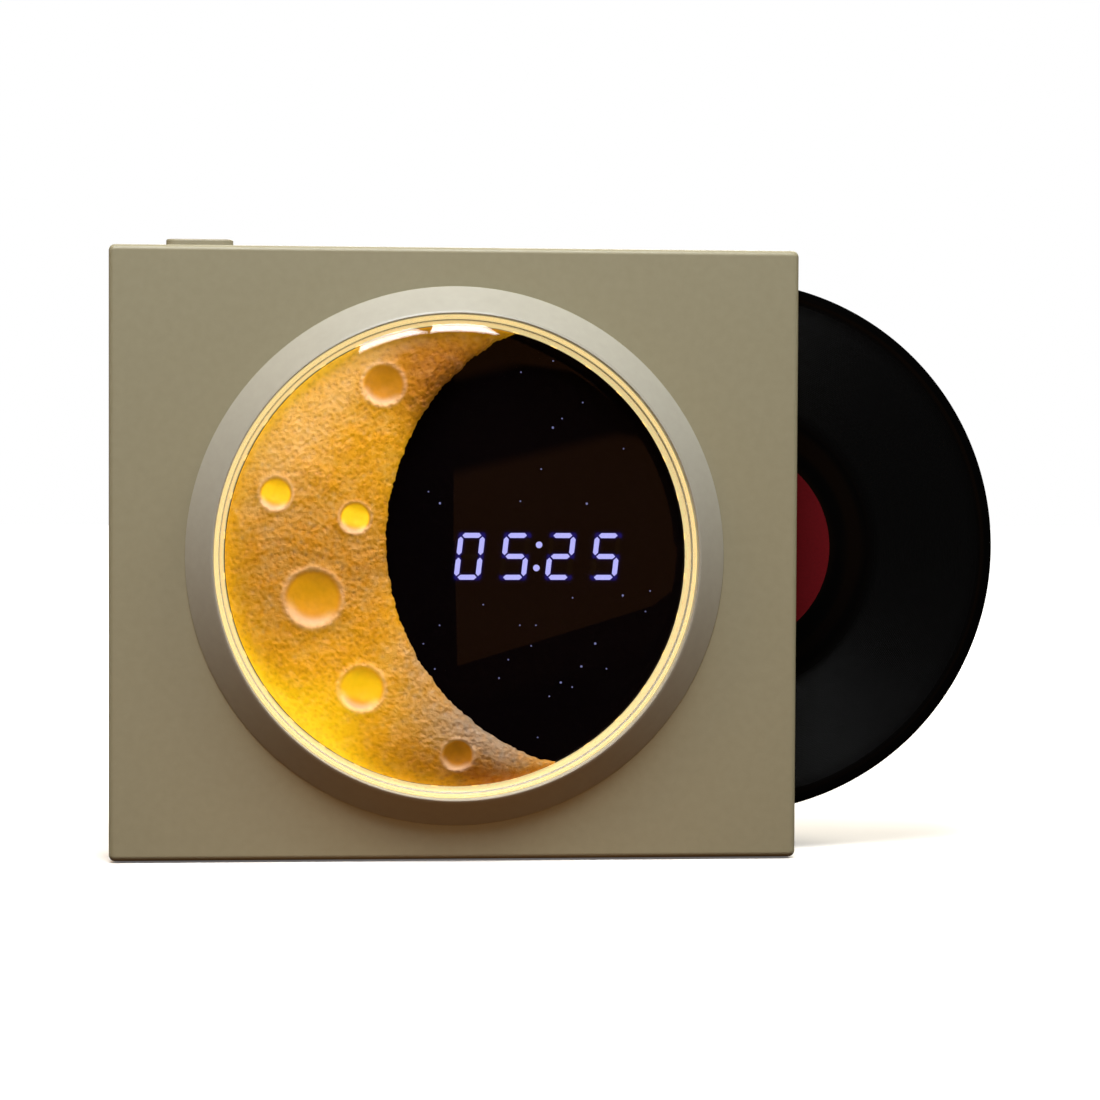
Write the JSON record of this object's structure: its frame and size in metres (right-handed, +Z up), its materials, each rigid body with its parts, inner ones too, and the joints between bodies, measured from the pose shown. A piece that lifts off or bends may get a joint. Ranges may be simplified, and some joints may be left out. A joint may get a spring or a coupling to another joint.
{
  "type": "moon phase desk clock",
  "caption": "Square-sided desk clock shaped like a record sleeve, with a lit crescent moon dial, a digital display and a small record that slides in its right side.",
  "frame": {"origin": "on the table, under the middle of the case's width, in the case's middle plane, on the front foot", "axes": "+Z up, the dial faces -Y, +X towards the side that the record comes out of"},
  "size_m": [0.2887, 0.0486, 0.1984],
  "materials": {
    "case_plastic": "satin moulded ABS, warm grey-beige",
    "bezel_plastic": "satin moulded ABS, warm grey-beige",
    "button_plastic": "satin moulded ABS, a little lighter",
    "rear_button_rubber": "soft silicone rubber",
    "screw_steel": "zinc-plated steel",
    "foot_rubber": "black rubber",
    "clear_cover": "clear polished acrylic",
    "milky_ring": "milky acrylic, lit warm",
    "moon_resin": "cast resin with a rough painted relief, lit warm",
    "black_panel": "black polished acrylic",
    "star_light": "clear pin, faintly lit",
    "digit_light": "clear light pipe, lit lavender white",
    "unlit_lens": "smoked light pipe, unlit",
    "black_plastic": "moulded black plastic",
    "grey_plastic": "moulded grey plastic",
    "tray_plastic": "smooth dark plastic",
    "white_board": "white lamp circuit board",
    "green_board": "green circuit board",
    "warm_lamp": "warm white lamp",
    "blue_lamp": "lavender lamp",
    "vinyl": "pressed black vinyl with fine grooves",
    "label_paper": "dark crimson paper",
    "inlet_steel": "drawn stainless steel",
    "cell_sleeve": "shrunk plastic sleeve",
    "lead_rubber": "soft insulated lead"
  },
  "bodies": {
    "case": {"front_shell": "case_plastic", "back_cover": "case_plastic", "case_screws": "screw_steel", "front_foot": "foot_rubber", "rear_foot": "foot_rubber", "dial_bezel": "bezel_plastic", "dial_cover": "clear_cover", "light_ring": "milky_ring", "lamp_ring_board": "white_board", "lamp_chips": "warm_lamp", "dial_tray": "grey_plastic", "dial_screws": "screw_steel", "moon_relief": "moon_resin", "night_panel": "black_panel", "panel_carrier": "black_plastic", "star_pins": "star_light", "lit_segments": "digit_light", "unlit_segments": "unlit_lens", "colon_dots": "digit_light", "display_housing": "black_plastic", "display_board": "green_board", "display_lamps": "blue_lamp", "main_board": "green_board", "main_board_parts": "black_plastic", "alarm_buzzer": "black_plastic", "board_screws": "screw_steel", "record_tray": "tray_plastic", "record_tray_lid": "tray_plastic", "tray_screws": "screw_steel", "snooze_switch": "black_plastic", "snooze_board": "green_board", "snooze_lead": "lead_rubber", "control_switches": "black_plastic", "control_board": "green_board", "control_lead": "lead_rubber", "power_inlet": "inlet_steel", "inlet_tongue": "black_plastic", "battery_cell": "cell_sleeve", "battery_holder": "black_plastic", "battery_lead": "lead_rubber"},
    "record": {"record_disc": "vinyl", "record_label_front": "label_paper", "record_label_back": "label_paper"},
    "snooze": {"snooze_button": "button_plastic"},
    "down": {"down_button": "rear_button_rubber"},
    "up": {"up_button": "rear_button_rubber"},
    "mode": {"mode_button": "rear_button_rubber"}
  },
  "joints": [
    {"name": "record_slide", "type": "slide", "parent": "case", "child": "record", "axis": [1, 0, 0], "range_m": [-0.0605, 0.0975]},
    {"name": "snooze_press", "type": "slide", "parent": "case", "child": "snooze", "axis": [0, 0, -1], "range_m": [0, 0.0008], "stiffness_N_per_m": 700, "springref_m": -0.0006},
    {"name": "down_press", "type": "slide", "parent": "case", "child": "down", "axis": [0, -1, 0], "range_m": [0, 0.0006], "stiffness_N_per_m": 700, "springref_m": -0.0006},
    {"name": "up_press", "type": "slide", "parent": "case", "child": "up", "axis": [0, -1, 0], "range_m": [0, 0.0006], "stiffness_N_per_m": 700, "springref_m": -0.0006},
    {"name": "mode_press", "type": "slide", "parent": "case", "child": "mode", "axis": [0, -1, 0], "range_m": [0, 0.0006], "stiffness_N_per_m": 700, "springref_m": -0.0006}
  ]
}
